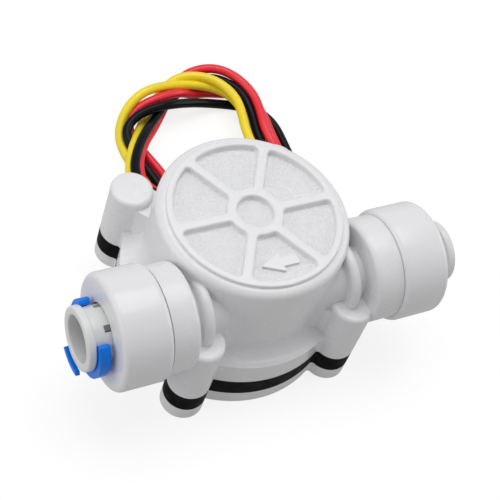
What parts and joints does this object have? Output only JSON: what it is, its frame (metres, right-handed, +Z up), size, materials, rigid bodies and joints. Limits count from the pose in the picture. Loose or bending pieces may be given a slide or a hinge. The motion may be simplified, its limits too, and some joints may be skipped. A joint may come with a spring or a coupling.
{
  "type": "flow sensor",
  "caption": "Small paddle wheel flow sensor with a round spoked body, in-line push-fit ports, a gasket above the bottom cover, a blue lock clip and loose signal wires.",
  "frame": {"origin": "middle of the bottom cover's underside, on the paddle wheel's axis, where the sensor rests", "axes": "+Z up along the paddle wheel's axis, +X along the port line towards the inlet, -X is the way the water flows, +Y towards the side the wires leave from"},
  "size_m": [0.0563, 0.0617, 0.0241],
  "materials": {
    "white_housing": "satin moulded POM, bright white",
    "white_cover": "satin moulded POM, bright white",
    "white_cap": "smooth moulded POM, bright white",
    "white_collet": "smooth moulded POM, white, slightly translucent",
    "black_rubber": "matte black moulded rubber",
    "seal_rubber": "black seal rubber with a light sheen",
    "blue_clip": "moulded bright blue plastic, satin",
    "wheel_plastic": "smooth black POM",
    "magnet": "nickel plated magnet",
    "steel_axle": "ground stainless steel",
    "steel_teeth": "stamped stainless spring steel",
    "zinc_screw": "zinc plated steel, satin",
    "bush_plastic": "natural PTFE filled plastic",
    "green_board": "solder mask over glass laminate",
    "chip_plastic": "black moulding compound",
    "potting_resin": "cast black epoxy, glossy",
    "red_wire": "extruded red PVC insulation, satin",
    "black_wire": "extruded black PVC insulation, satin",
    "yellow_wire": "extruded yellow PVC insulation, satin",
    "white_plug": "natural white nylon",
    "tinned_contact": "tinned phosphor bronze"
  },
  "bodies": {
    "sensor_body": {"housing": "white_housing", "gasket": "black_rubber", "bottom_cover": "white_cover", "cover_screws": "zinc_screw", "axle": "steel_axle", "upper_bush": "bush_plastic", "lower_bush": "bush_plastic", "inlet_jet": "wheel_plastic", "inlet_cap": "white_cap", "inlet_seal": "seal_rubber", "inlet_spacer": "white_collet", "outlet_cap": "white_cap", "outlet_seal": "seal_rubber", "outlet_spacer": "white_collet", "circuit_board": "green_board", "hall_chip": "chip_plastic", "potting": "potting_resin", "red_wire_lead": "red_wire", "red_wire_tail": "red_wire", "black_wire_lead": "black_wire", "black_wire_tail": "black_wire", "yellow_wire_lead": "yellow_wire", "yellow_wire_tail": "yellow_wire", "wire_coil": "black_wire", "plug_housing": "white_plug", "plug_contacts": "tinned_contact"},
    "rotor": {"paddle_wheel": "wheel_plastic", "wheel_magnets": "magnet"},
    "inlet_release": {"inlet_collet": "white_collet", "inlet_collet_teeth": "steel_teeth"},
    "outlet_release": {"outlet_collet": "white_collet", "outlet_collet_teeth": "steel_teeth"},
    "clip": {"lock_clip": "blue_clip"}
  },
  "joints": [
    {"name": "wheel_spin", "type": "hinge", "parent": "sensor_body", "child": "rotor", "pos_m": [0, 0, 0.0156], "axis": [0, 0, 1], "continuous": true},
    {"name": "inlet_collet_press", "type": "slide", "parent": "sensor_body", "child": "inlet_release", "axis": [-1, 0, 0], "range_m": [0, 0.002]},
    {"name": "outlet_collet_press", "type": "slide", "parent": "sensor_body", "child": "outlet_release", "axis": [1, 0, 0], "range_m": [0, 0.0005]},
    {"name": "clip_turn", "type": "hinge", "parent": "outlet_release", "child": "clip", "pos_m": [-0.0258, -0.0086, 0.016], "axis": [1, 0, 0], "continuous": true}
  ]
}
